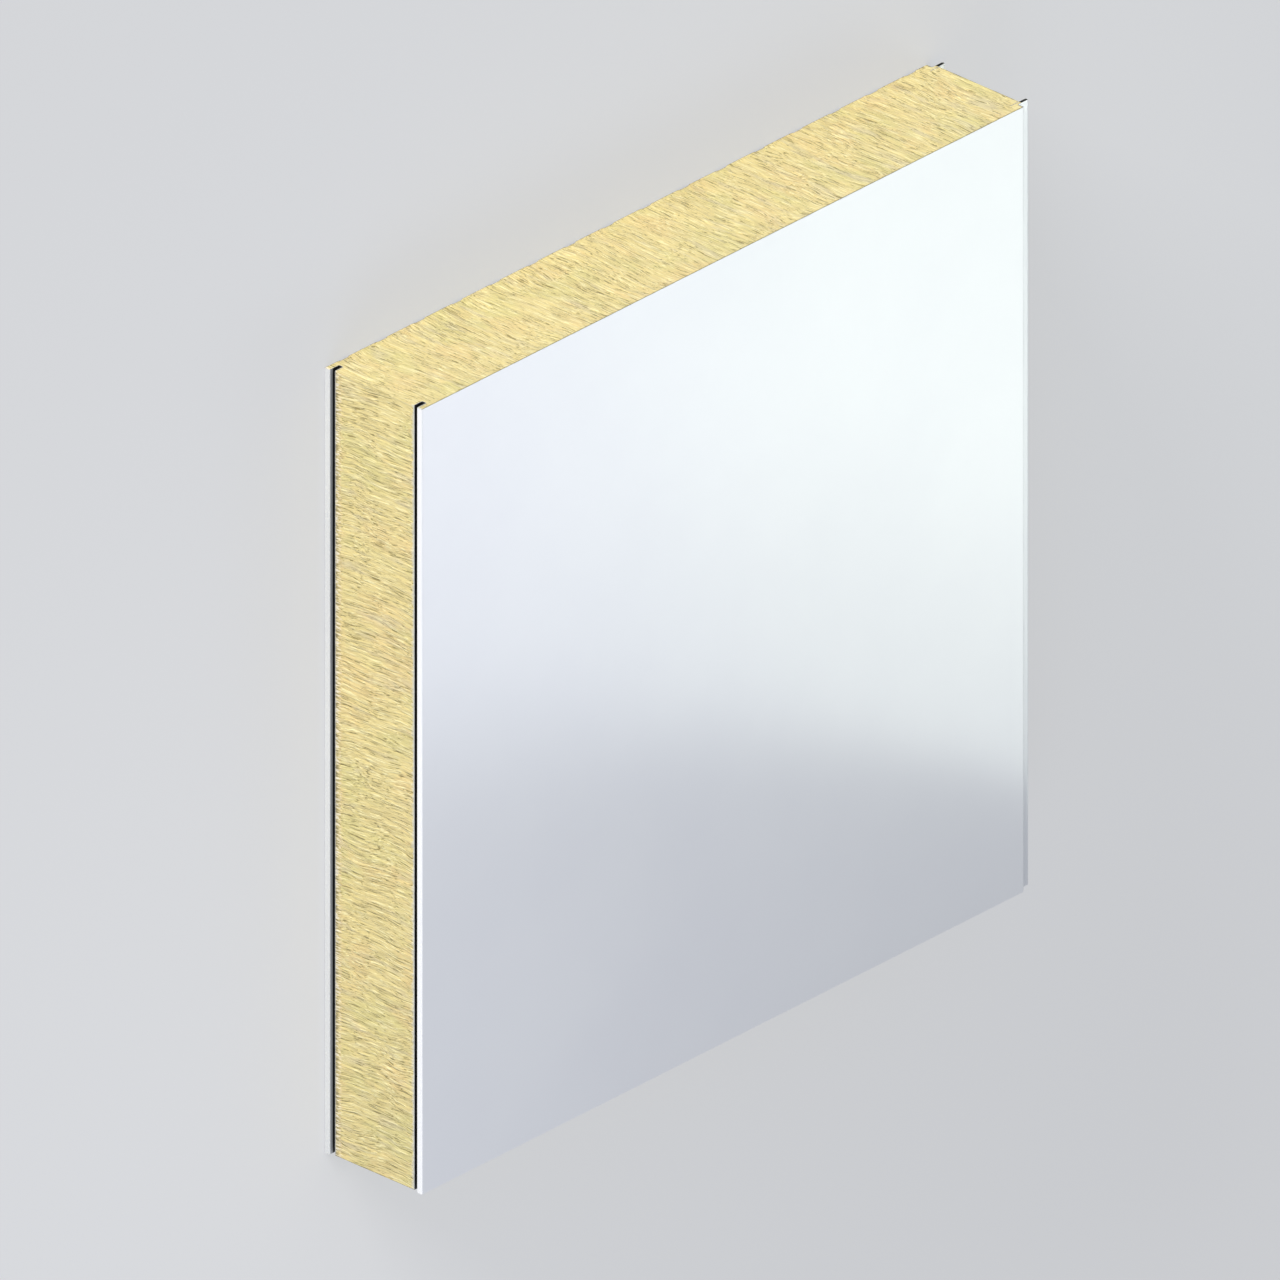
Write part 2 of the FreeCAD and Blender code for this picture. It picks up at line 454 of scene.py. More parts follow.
@dataclass(frozen=True)
class SawnStoneWool:
    """Resin-bound stone wool, sawn across a slab whose fibres run from facing to facing.

    The eye sees matt straw yellow in long, nearly parallel streaks: fine dark creases, paler
    combed ridges beside them, and here and there a greyish or pinkish layer that took up less
    resin. The creases' darkness is partly painted shade and the ridges' paleness partly painted
    highlight. The colour is scaled by a painted light gradient, a little darker towards one corner
    and lighter towards the one across from it, which also makes up for the key light's falloff.
    On the groove edge the wool is a little warmer near both lips, paler beside the outer lip, and
    torn into pale tufts with dark holes beside the inner one; the dark holes are partly painted
    shade beside that lip. Under the outer facing the wool carries a dark adhesive line, which is
    also painted shadow in the gap between wool and sheet.

    Attributes:
        name: the material's name.
        across: width of one streak.
        along: length of one streak.
        drifts: size of each bend in the streaks, and how far it carries them.
        pale_ridge_and_highlight: sRGB colour of combed ridges, partly painted highlight.
        straw: sRGB colour of most of the wool.
        furrow: sRGB colour of the torn furrows, partly painted shade in them.
        rich: sRGB colour of wool with much resin.
        layers: drifts with little oil, much resin and little resin.
        painted_light_gradient: painted light, the brightness at the darker corner and at the one across
            from it.
        outer_lip_pale: sRGB colour beside the outer lip.
        torn: sRGB colour of the holes between the tufts beside the inner lip, partly painted shade.
        tuft: sRGB colour of those tufts.
        glue_and_shadow: sRGB colour of the adhesive soaked into the wool under the outer facing, also
            painted shadow in the gap between wool and sheet.
        glue_shadow_band: depth that the adhesive and painted shadow reach, and depth to which they are
            full.
        relief: height of the streaks.
    """

    name: str = "sawn_stone_wool"
    across: float = 1.8 * MM
    along: float = 60 * MM
    drifts: tuple[tuple[float, float], ...] = ((110 * MM, 25 * MM), (30 * MM, 4.5 * MM))
    # pale ridges are partly painted highlight, dark furrows partly painted shade
    pale_ridge_and_highlight: str = "#F3E9B3"
    straw: str = "#DFCE8F"
    furrow: str = "#8F814C"
    rich: str = "#E3C88C"
    layers: tuple[ResinLayer, ...] = (
        ResinLayer("#D3CB88", 55 * MM, 80 * MM, start=0.49, full=0.61, most=0.55),
        ResinLayer(rich, 42 * MM, 60 * MM, start=0.51, full=0.64, most=0.5),
        ResinLayer("#CDC2A4", 14 * MM, 75 * MM, start=0.56, full=0.7, most=0.5),
    )
    painted_light_gradient: tuple[float, float] = (0.97, 1.09)
    outer_lip_pale: str = "#DDE0D4"
    torn: str = "#7A6E46"
    tuft: str = "#FFF8E8"
    glue_and_shadow: str = "#857B58"
    glue_shadow_band: tuple[float, float] = (1.1 * MM, 0.8 * MM)
    relief: float = 2.4 * MM

    def make(self) -> bpy.types.Material:
        """Build the wool's material.

        Returns:
            The material.
        """
        material, add = new_material(self.name)
        place = add("TexCoord").outputs["Object"]
        waved = place
        for width, reach in self.drifts:
            waved = drifted(add, waved, width, reach)
        height = self.combed(add, waved, place)
        colour = self.painted_streak_shading(add, height, self.straw)
        for layer in self.layers:
            drift = self.stretched_noise(add, waved, layer.across, layer.along, 3.0)
            amount = add(
                "MapRange",
                {"Value": drift, "From Min": layer.start, "From Max": layer.full, "To Max": layer.most},
            )
            streaked = self.painted_streak_shading(add, height, layer.colour)
            colour = add("MixRGB", {"Fac": amount, "Color1": colour, "Color2": streaked})
        parts = add("SeparateXYZ", {"Vector": place}).outputs
        # painted light: colour scaled darker at low X and Y and lighter at high X and Y, also making up
        # for the key light's falloff
        corner = add("Math", {0: parts["X"], 1: parts["Y"]}, operation="ADD")
        dark, light = self.painted_light_gradient
        painted_light_gradient = add("MapRange", {"Value": corner, "From Min": -1.0, "To Min": dark, "To Max": light})
        light_graded = add("VectorMath", {0: colour, "Scale": painted_light_gradient}, operation="SCALE")
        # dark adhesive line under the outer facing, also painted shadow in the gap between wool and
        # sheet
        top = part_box("wool_core")[1].z
        reach, full = self.glue_shadow_band
        glue_shadow_band = add(
            "MapRange",
            {"Value": parts["Z"], "From Min": top - reach, "From Max": top - full, "To Max": 0.85},
        )
        lip_marks_and_shade, glue_and_shadow = self.lip_marks_and_shade(add, place, light_graded), linear(self.glue_and_shadow)
        glue_shadowed = add("MixRGB", {"Fac": glue_shadow_band, "Color1": lip_marks_and_shade, "Color2": glue_and_shadow})
        bump = add("Bump", {"Height": height, "Strength": 1.0, "Distance": self.relief})
        shader = add(
            "BsdfPrincipled",
            {
                "Base Color": glue_shadowed,
                "Roughness": 0.95,
                "IOR": 1.45,
                "Sheen Weight": 0.15,
                "Sheen Roughness": 0.6,
                "Normal": bump,
            },
        )
        add("OutputMaterial", {"Surface": shader})
        return material

    def combed(self, add: Adder, waved: Socket, place: Socket) -> bpy.types.Node:
        """Work out the height of the combed surface.

        Args:
            add: adds a node to the tree.
            waved: the bent coordinates that the streaks follow.
            place: the plain object coordinates.

        Returns:
            The node that gives the height: about 0.5 on most of the wool, and less in a crease.
        """
        streaks, hairs, flecks, veins = (
            self.stretched_noise(add, waved, self.across * width, length, detail)
            for width, length, detail in (
                (1.0, self.along, 2.0),
                (0.7, self.along * 0.5, 1.5),
                (0.65, 7 * MM, 1.0),
                (1.3, self.along * 1.2, 1.0),
            )
        )
        both = add("Mix", {"Factor": 0.5, "A": streaks, "B": hairs})
        both = add("Mix", {"Factor": 0.12, "A": both, "B": flecks})
        off = add("Math", {0: veins, 1: 0.5}, operation="SUBTRACT")
        off = add("Math", {0: off}, operation="ABSOLUTE")
        crease = add("MapRange", {"Value": off, "From Max": 0.02, "To Min": -0.12, "To Max": 0.005})
        spread = self.stretched_noise(add, place, 14 * MM, 30 * MM, 1.0)
        deep = add("MapRange", {"Value": spread, "From Min": 0.37, "From Max": 0.55})
        return add("Math", {0: crease, 1: deep, 2: both}, operation="MULTIPLY_ADD")

    def lip_marks_and_shade(self, add: Adder, place: Socket, colour: bpy.types.Node) -> bpy.types.Node:
        """Warm the wool beside both lips of the groove edge, pale it beside the outer lip and tear it
        beside the inner one into pale tufts with dark holes, partly painted shade.

        Args:
            add: adds a node to the tree.
            place: the object coordinates.
            colour: the node that gives the wool's colour so far.

        Returns:
            The node that gives the wool's colour.
        """
        parts = add("SeparateXYZ", {"Vector": place}).outputs
        face = LOW.x + 3.3 * MM
        edge = add("Math", {0: parts["X"], 1: face}, operation="LESS_THAN")
        tufts = self.stretched_noise(add, place, 2.7 * MM, 10 * MM, 1.5)
        shades = [(0.4, self.torn), (0.5, self.straw), (0.58, self.tuft)]
        tufted = add("ValToRGB", {"Fac": tufts}, stops=shades)
        for towards, most, start, full in (
            (linear(self.rich), 0.4, LOW.z + 32 * MM, LOW.z + 26 * MM),
            # pale tufts with dark holes beside the inner lip; the dark holes are partly painted shade
            (tufted, 0.7, LOW.z + 25 * MM, LOW.z + 18 * MM),
            (linear(self.rich), 0.4, HIGH.z - 30 * MM, HIGH.z - 25 * MM),
            (linear(self.outer_lip_pale), 0.8, HIGH.z - 20.5 * MM, HIGH.z - 15 * MM),
        ):
            band = add(
                "MapRange",
                {"Value": parts["Z"], "From Min": start, "From Max": full, "To Max": most},
            )
            amount = add("Math", {0: band, 1: edge}, operation="MULTIPLY")
            colour = add("MixRGB", {"Fac": amount, "Color1": colour, "Color2": towards})
        return colour

    def painted_streak_shading(self, add: Adder, height: bpy.types.Node, colour: str) -> bpy.types.Node:
        """Colour a layer by the streaks' height: darker in furrows, paler on ridges, partly painted
        shade and painted highlight.

        Args:
            add: adds a node to the tree.
            height: the node that gives the streaks' height.
            colour: the layer's sRGB colour.

        Returns:
            The colour ramp of the streaked layer.
        """
        # darker in furrows and paler on ridges: partly painted shade and painted highlight
        shades = [(0.38, self.furrow), (0.45, colour), (0.535, colour), (0.62, self.pale_ridge_and_highlight)]
        return add("ValToRGB", {"Fac": height}, stops=shades)

    def stretched_noise(
        self, add: Adder, place: Socket, across: float, along: float, detail: float
    ) -> Socket:
        """Add noise that is longer through the panel than across it.

        Args:
            add: adds a node to the tree.
            place: the coordinates to read.
            across: size of the pattern in Y; in X it is a little finer.
            along: size of the pattern in Z.
            detail: octaves.

        Returns:
            The noise value.
        """
        scale = (1.05 / across, 1 / across, 1 / along)
        stretched = add("Mapping", {"Vector": place, "Scale": scale})
        noise = {"Vector": stretched, "Scale": 1.0, "Detail": detail}
        return add("TexNoise", noise).outputs["Fac"]


# --- folded sheets --------------------------------------------------------------------------


class Side(Enum):
    """Which facing a sheet is: the smooth outer one on top, or the lined inner one below."""

    OUTER = "outer_facing"
    INNER = "inner_facing"


@dataclass
class JointSizes:
    """Sizes that both facings' folded edges share."""

    nose_depth: float = 8 * MM
    groove_width: float = 6 * MM
    groove_depth: float = 16 * MM
    lip_recess: float = 3 * MM
    tongue_offset: float = 8.5 * MM
    tongue_thickness: float = 5 * MM
    tongue_reach: float = 17 * MM
    tongue_tail: float = 8 * MM
    bend_radius: float = 1.2 * MM


@dataclass
class LiningSizes:
    """Sizes of the shallow grooves pressed into the inner facing."""

    pitch: float = 62.5 * MM
    count: int = 16
    mouth: float = 20.5 * MM
    floor: float = 11.5 * MM
    depth: float = 1.5 * MM
    bend: float = 3 * MM


@dataclass
class FoldedFacing:
    """One steel sheet, roll-formed with its groove edge and its tongue edge.

    Attributes:
        side: which facing it is.
        gauge: thickness of the steel.
        slot: the record's material slot; not used.
        coat: the finish of its outward side.
        joint: sizes of its folded edges.
        lining: sizes of its pressed grooves, or None on a smooth sheet.
    """

    side: Side
    gauge: float
    slot: str
    coat: CoilCoating
    joint: JointSizes = field(default_factory=JointSizes)
    lining: LiningSizes | None = None

    def corners(self) -> list[tuple[float, float, float]]:
        """Work out the fold path at mid sheet.

        Returns:
            Distance from the nose, depth below the face and bend radius of each corner.
        """
        joint, mid = self.joint, self.gauge / 2
        fold = joint.bend_radius + mid
        far = joint.nose_depth + joint.groove_width
        bottom = joint.groove_depth + mid
        tip = HIGH.x - LOW.x
        end = tip - joint.tongue_reach
        near = joint.tongue_offset
        hem = (joint.tongue_thickness - self.gauge) / 2
        return [
            (joint.lip_recess, far + mid, 0.0),
            (bottom, far + mid, fold),
            (bottom, joint.nose_depth - mid, fold),
            (mid, joint.nose_depth - mid, fold),
            (mid, mid, fold),
            *self.lining_corners(mid),
            (end - mid, mid, fold),
            (end - mid, near + mid, fold),
            (tip - mid, near + mid, hem),
            (tip - mid, near + joint.tongue_thickness - mid, hem),
            (end - joint.tongue_tail, near + joint.tongue_thickness - mid, 0.0),
        ]

    def lining_corners(self, mid: float) -> list[tuple[float, float, float]]:
        """Work out the pressed grooves' corners.

        Args:
            mid: half the sheet's gauge.

        Returns:
            The corners of every groove, or none on a smooth sheet.
        """
        if self.lining is None:
            return []
        lining = self.lining
        found = []
        for index in range(lining.count):
            centre = (index + 0.5) * lining.pitch
            for half, depth in (
                (-lining.mouth / 2, 0.0),
                (-lining.floor / 2, lining.depth),
                (lining.floor / 2, lining.depth),
                (lining.mouth / 2, 0.0),
            ):
                found.append((centre + half, mid + depth, lining.bend))
        return found

    def path_mesh(self) -> bpy.types.Mesh:
        """Make the fold path as a chain of edges that carries its bend radii.

        Returns:
            The mesh, at the panel's near cut end.
        """
        corners = self.corners()
        if self.side is Side.OUTER:
            corners.reverse()
            places = [(LOW.x + x, LOW.y, HIGH.z - depth) for x, depth, _ in corners]
        else:
            places = [(LOW.x + x, LOW.y, LOW.z + depth) for x, depth, _ in corners]
        mesh = bpy.data.meshes.new(self.side.value)
        mesh.from_pydata(places, [(i, i + 1) for i in range(len(places) - 1)], [])
        radii = mesh.attributes.new("bend", "FLOAT", "POINT")
        radii.data.foreach_set("value", [radius for _, _, radius in corners])
        return mesh

    @staticmethod
    def fold_tree(
        coat: bpy.types.Material, backing: bpy.types.Material, edge: bpy.types.Material
    ) -> bpy.types.NodeTree:
        """Build the tree that folds a path into a sheet with a coated and a backing side.

        Args:
            coat: the outward side's material.
            backing: the inward side's material.
            edge: the cut edges' material.

        Returns:
            The tree, with inputs Length, Gauge and Bend Steps.
        """
        sizes = {"Length": 1.0, "Gauge": 0.6 * MM, "Bend Steps": 7}
        tree = new_geometry_tree("fold_sheet", sizes)
        add = partial(add_node, tree)
        given = add("NodeGroupInput").outputs
        radius = add("GeometryNodeInputNamedAttribute", {"Name": "bend"}, data_type="FLOAT")
        curve = add("GeometryNodeMeshToCurve", {"Mesh": given["Geometry"]})
        bends = {"Curve": curve, "Radius": radius, "Count": given["Bend Steps"]}
        bent = add("GeometryNodeFilletCurve", bends | {"Limit Radius": False}, mode="POLY")
        wire = add("GeometryNodeCurveToMesh", {"Curve": bent})
        wire = add("GeometryNodeMergeByDistance", {"Geometry": wire, "Distance": 0.05 * MM})
        run = add("CombineXYZ", {"Y": given["Length"]})
        band = add("GeometryNodeExtrudeMesh", {"Mesh": wire, "Offset": run}, mode="EDGES")
        normal = add("GeometryNodeInputNormal")
        half = add("Math", {0: given["Gauge"], 1: -0.5}, operation="MULTIPLY")
        inward = add("VectorMath", {0: normal, "Scale": half}, operation="SCALE")
        back = add("GeometryNodeSetPosition", {"Geometry": band, "Offset": inward})
        back = add("GeometryNodeSetMaterial", {"Geometry": back, "Material": backing})
        outwards = {"Mesh": back, "Offset Scale": given["Gauge"], "Individual": False}
        thick = add("GeometryNodeExtrudeMesh", outwards, mode="FACES")
        dressed = thick
        for faces, finish in (("Top", coat), ("Side", edge)):
            chosen = {"Selection": thick.outputs[faces], "Material": finish}
            dressed = add("GeometryNodeSetMaterial", {"Geometry": dressed} | chosen)
        turned = add("GeometryNodeFlipFaces", {"Mesh": back})
        joined = add("GeometryNodeJoinGeometry", {0: dressed})
        tree.links.new(turned.outputs["Mesh"], joined.inputs[0])
        whole = add("GeometryNodeMergeByDistance", {"Geometry": joined, "Distance": 0.01 * MM})
        smooth = add(
            "GeometryNodeSetShadeSmooth", {"Geometry": whole, "Shade Smooth": True}, domain="FACE"
        )
        angle = add("GeometryNodeInputMeshEdgeAngle")
        sharp = add(
            "FunctionNodeCompare",
            {0: angle, 1: math.radians(40)},
            data_type="FLOAT",
            operation="GREATER_THAN",
        )
        shaded = add(
            "GeometryNodeSetShadeSmooth",
            {"Geometry": smooth, "Selection": sharp, "Shade Smooth": False},
            domain="EDGE",
        )
        real = add("GeometryNodeRealizeInstances", {"Geometry": shaded})
        add("NodeGroupOutput", {"Geometry": real})
        return tree

    def build(self, backing: bpy.types.Material, edge: bpy.types.Material) -> None:
        """Fold the sheet and put it in the place of its CAD node.

        Args:
            backing: the inward side's material.
            edge: the cut edges' material.
        """
        piece = link_object(f"{self.side.value}_sheet", self.path_mesh())
        tree = self.fold_tree(self.coat.make(), backing, edge)
        add_geometry(piece, tree, {"Length": HIGH.y - LOW.y, "Gauge": self.gauge})
        normals = piece.modifiers.new("flat_normals", "WEIGHTED_NORMAL")
        normals.keep_sharp = True
        normals.weight = 100
        hand_over(piece, self.side.value)


# --- wool -----------------------------------------------------------------------------------


def sides(outline: np.ndarray) -> list[tuple[np.ndarray, np.ndarray]]:
    """Return the sides of a closed outline, each as the points at its two ends."""
    return list(zip(outline, np.roll(outline, -1, axis=0)))


@dataclass
class WoolCore:
    """The bonded wool block, with torn relief on its sawn ends and on both long edges.

    Attributes:
        node: its CAD node, whose outline it keeps.
        slot: the record's material slot; not used.
        wool: its finish.
        pitch: spacing of the relief's points across the streaks.
        reach: spacing of the relief's points along the streaks.
        depth: how deep the furrows are.
        furrow: width and length of one furrow.
        border: width over which the relief fades out towards the block's edges.
        seed: starts the relief's pattern.
        grain: step to which the CAD's points are rounded before they are compared.
    """

    node: str = "wool_core"
    slot: str = "stone_wool"
    wool: SawnStoneWool = field(default_factory=SawnStoneWool)
    pitch: float = 1.3 * MM
    reach: float = 6 * MM
    depth: float = 1.5 * MM
    furrow: tuple[float, float] = (4 * MM, 55 * MM)
    border: float = 5 * MM
    seed: float = 4.0
    grain: float = 0.001 * MM

    def outline(self) -> np.ndarray:
        """Read the core's cross-section from its CAD node.

        Returns:
            The outline's points in X and Z, in order round the section.
        """
        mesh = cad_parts[self.node].data
        places = np.array([vertex.co for vertex in mesh.vertices])
        end, flush = places[:, 1].max(), 0.01 * MM
        keys = [tuple(np.round(place / self.grain).astype(int)) for place in places]
        used: dict[frozenset, int] = {}
        for face in mesh.polygons:
            corners = [keys[i] for i in face.vertices]
            if all(abs(places[i][1] - end) < flush for i in face.vertices):
                for a, b in zip(corners, corners[1:] + corners[:1]):
                    pair = frozenset((a, b))
                    used[pair] = used.get(pair, 0) + 1
        beside: dict[tuple, list[tuple]] = {}
        for pair, count in used.items():
            if count == 1 and len(pair) == 2:
                a, b = pair
                beside.setdefault(a, []).append(b)
                beside.setdefault(b, []).append(a)
        start = min(beside)
        loop = [start]
        last, here = None, start
        while True:
            following = [key for key in beside[here] if key != last][0]
            if following == start:
                break
            loop.append(following)
            last, here = here, following
        return np.array(loop, float)[:, [0, 2]] * self.grain

    def divided(self, outline: np.ndarray) -> np.ndarray:
        """Divide the outline's long sides to the relief's spacing.

        Args:
            outline: the section's corner points.

        Returns:
            The outline with points added on its straight sides.
        """
        points = []
        for here, there in sides(outline):
            across, rise = np.abs(there - here)
            parts = max(1, round(across / self.pitch), round(rise / self.reach))
            for step in range(parts):
                points.append(here + (there - here) * step / parts)
        return np.array(points)

    def gaps(self, points: np.ndarray, outline: np.ndarray) -> np.ndarray:
        """Measure how far points of the section lie from its outline.

        Args:
            points: the points in X and Z.
            outline: the section's outline.

        Returns:
            The distances.
        """
        nearest = np.full(len(points), np.inf)
        for here, there in sides(outline):
            way = there - here
            share = np.clip(((points - here) @ way) / (way @ way), 0, 1)
            nearest = np.minimum(nearest, np.linalg.norm(points - here - share[:, None] * way, axis=1))
        return nearest

    def lattice(self, outline: np.ndarray) -> np.ndarray:
        """Lay out the relief's points inside the section.

        Args:
            outline: the divided outline.

        Returns:
            The points that lie well inside the outline.
        """
        low, high = outline.min(0), outline.max(0)
        columns = np.arange(low[0], high[0], self.pitch) + self.pitch / 2
        rows = np.arange(low[1], high[1], self.reach) + self.reach / 2
        xs, zs = np.meshgrid(columns, rows, indexing="ij")
        zs = zs + np.where(np.arange(len(columns)) % 2, 0.25, -0.25)[:, None] * self.reach
        points = np.stack([xs.ravel(), zs.ravel()], 1)
        inside = np.zeros(len(points), bool)
        for here, there in sides(outline):
            way = there - here
            crosses = (here[1] > points[:, 1]) != (there[1] > points[:, 1])
            if way[1] != 0:
                at = here[0] + (points[:, 1] - here[1]) / way[1] * way[0]
                inside ^= crosses & (points[:, 0] < at)
        points = points[inside]
        clear = 0.45 * self.pitch
        return points[self.gaps(points, outline) > clear]

    def block_mesh(self) -> bpy.types.Mesh:
        """Make the closed block: fine on its open faces, long strips under the facings.

        Returns:
            The mesh, whose outward attribute fades to zero at the edges and under the facings.
        """
        outline = self.outline()
        if np.cross(outline, np.roll(outline, -1, axis=0)).sum() < 0:
            outline = outline[::-1]
        corners, outline = outline, self.divided(outline)
        count = len(outline)
        points = np.concatenate([outline, self.lattice(outline)])
        result = geometry.delaunay_2d_cdt(
            [Vector(point) for point in points], [], [list(range(count))], 1, 1e-7
        )
        flat = np.array([list(place) for place in result[0]])
        triangles = [list(face) for face in result[2]]
        fades = np.clip(self.gaps(flat, corners) / self.border, 0, 1)
        low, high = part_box(self.node)
        stations = np.linspace(low.y, high.y, round((high.y - low.y) / self.pitch) + 1)[1:-1]
        total = len(flat)
        places = [(x, y, z) for y in (low.y, high.y) for x, z in flat]
        outward = [(0, way * fade, 0) for way in (-1, 1) for fade in fades]
        faces = triangles + [[i + total for i in reversed(face)] for face in triangles]
        open_sides = self.open_sides(flat[:count])
        ends = np.minimum(stations - low.y, high.y - stations)
        heights = {side: flat[[i for i, at in open_sides.items() if at == side], 1] for side in (-1, 1)}
        rows = {index: [index, index + total] for index in range(count)}
        for index, side in open_sides.items():
            for corner in (index, (index + 1) % count):
                if len(rows[corner]) == 2:
                    x, z = flat[corner]
                    inset = min(z - heights[side].min(), heights[side].max() - z)
                    fades = np.clip(np.minimum(ends, max(inset, 0)) / self.border, 0, 1)
                    rows[corner][1:1] = range(len(places), len(places) + len(stations))
                    places += [(x, y, z) for y in stations]
                    outward += [(side * fade, 0, 0) for fade in fades]
        for index in range(count):
            near, far = rows[index], rows[(index + 1) % count]
            if index in open_sides:
                faces += [list(quad) for quad in zip(near, near[1:], far[1:], far)]
            else:
                faces.append(near + far[::-1])
        mesh = bpy.data.meshes.new(self.node)
        mesh.from_pydata(places, [], faces)
        ways = mesh.attributes.new("outward", "FLOAT_VECTOR", "POINT")
        ways.data.foreach_set("vector", np.array(outward, float).ravel())
        return mesh

    def open_sides(self, outline: np.ndarray) -> dict[int, int]:
        """Find the outline's sides that form the core's two open long faces.

        Args:
            outline: the divided outline.

        Returns:
            Number of each such side, with -1 on the groove edge and 1 on the tongue edge.
        """
        middle = (outline[:, 1].min() + outline[:, 1].max()) / 2
        between_lips, flush = 20 * MM, 0.02 * MM
        centre = np.abs(outline[:, 1] - middle) < between_lips
        faces = {-1: outline[centre, 0].min(), 1: outline[centre, 0].max()}
        found = {}
        for index, ends in enumerate(sides(outline)):
            for side, face in faces.items():
                if all(abs(point[0] - face) < flush for point in ends):
                    found[index] = side
        return found

    def relief_tree(self, wool: bpy.types.Material) -> bpy.types.NodeTree:
        """Build the tree that tears furrows into the block's open faces.

        Args:
            wool: the wool's material.

        Returns:
            The tree, with inputs Depth, Across, Along and Seed.
        """
        across, along = self.furrow
        sizes = {"Depth": self.depth, "Across": across, "Along": along, "Seed": self.seed}
        tree = new_geometry_tree("tear_wool", sizes)
        add = partial(add_node, tree)
        given = add("NodeGroupInput").outputs
        outward = add("GeometryNodeInputNamedAttribute", {"Name": "outward"}, data_type="FLOAT_VECTOR")
        place = add("GeometryNodeInputPosition").outputs["Position"]
        bent = drifted(add, place, *self.wool.drifts[0], seed=given["Seed"])
        size = add("CombineXYZ", {"X": given["Across"], "Y": given["Across"], "Z": given["Along"]})
        stretched = add("VectorMath", {0: bent, 1: size}, operation="DIVIDE")
        pattern = {"Vector": stretched, "W": given["Seed"], "Scale": 1.0, "Detail": 2.0}
        furrows = add("TexNoise", pattern | {"Roughness": 0.6}, noise_dimensions="4D")
        torn = add(
            "MapRange",
            {"Value": furrows, "From Min": 0.3, "From Max": 0.62, "To Min": -1.0, "To Max": -0.1},
        )
        amount = add("Math", {0: torn, 1: given["Depth"]}, operation="MULTIPLY")
        offset = add("VectorMath", {0: outward, "Scale": amount}, operation="SCALE")
        moved = add("GeometryNodeSetPosition", {"Geometry": given["Geometry"], "Offset": offset})
        smooth = add("GeometryNodeSetShadeSmooth", {"Geometry": moved, "Shade Smooth": True})
        real = add("GeometryNodeRealizeInstances", {"Geometry": smooth})
        dressed = add("GeometryNodeSetMaterial", {"Geometry": real, "Material": wool})
        add("NodeGroupOutput", {"Geometry": dressed})
        return tree

    def build(self) -> None:
        """Build the core and put it in the place of its CAD node."""
        piece = link_object("wool_block", self.block_mesh())
        tree = self.relief_tree(self.wool.make())
        add_geometry(piece, tree, {"Depth": self.depth, "Seed": self.seed})
        hand_over(piece, self.node)


# --- studio ---------------------------------------------------------------------------------


def add_softbox(
    name: str, size: tuple[float, float], energy: float, place: Vector, turned: Matrix
) -> bpy.types.Light:
    """Add a rectangular lamp that the camera doesn't see.

    Args:
        name: the lamp's name.
        size: its width and height.
        energy: its power.
        place: its middle.
        turned: its axes; it shines along its own -Z.

    Returns:
        The lamp's data.
    """
    data = bpy.data.lights.new(name, "AREA")
    data.shape = "RECTANGLE"
    data.size, data.size_y = size
    data.energy = energy
    lamp = link_object(name, data)
    lamp.matrix_world = Matrix.Translation(place) @ turned.to_4x4()
    lamp.visible_camera = False
    return data


@dataclass(frozen=True)
class SoftLamp:
    """A soft rectangular lamp aimed at the panel's middle.

    Attributes:
        name: the lamp's name.
        towards: direction from the panel to the lamp.
        distance: metres from the panel.
        size: the lamp's width and height.
        level: how bright a white surface square to it becomes.
        colour: sRGB colour of its light.
    """

    name: str
    towards: tuple[float, float, float]
    distance: float
    size: tuple[float, float]
    level: float
    colour: str

    def add(self, middle: Vector) -> None:
        """Set the lamp up.

        Args:
            middle: middle of the panel.
        """
        way = Vector(self.towards).normalized()
        energy = self.level * math.pi**2 * self.distance**2
        turned = way.to_track_quat("Z", "Y").to_matrix()
        data = add_softbox(self.name, self.size, energy, middle + way * self.distance, turned)
        data.color = linear(self.colour)[:3]


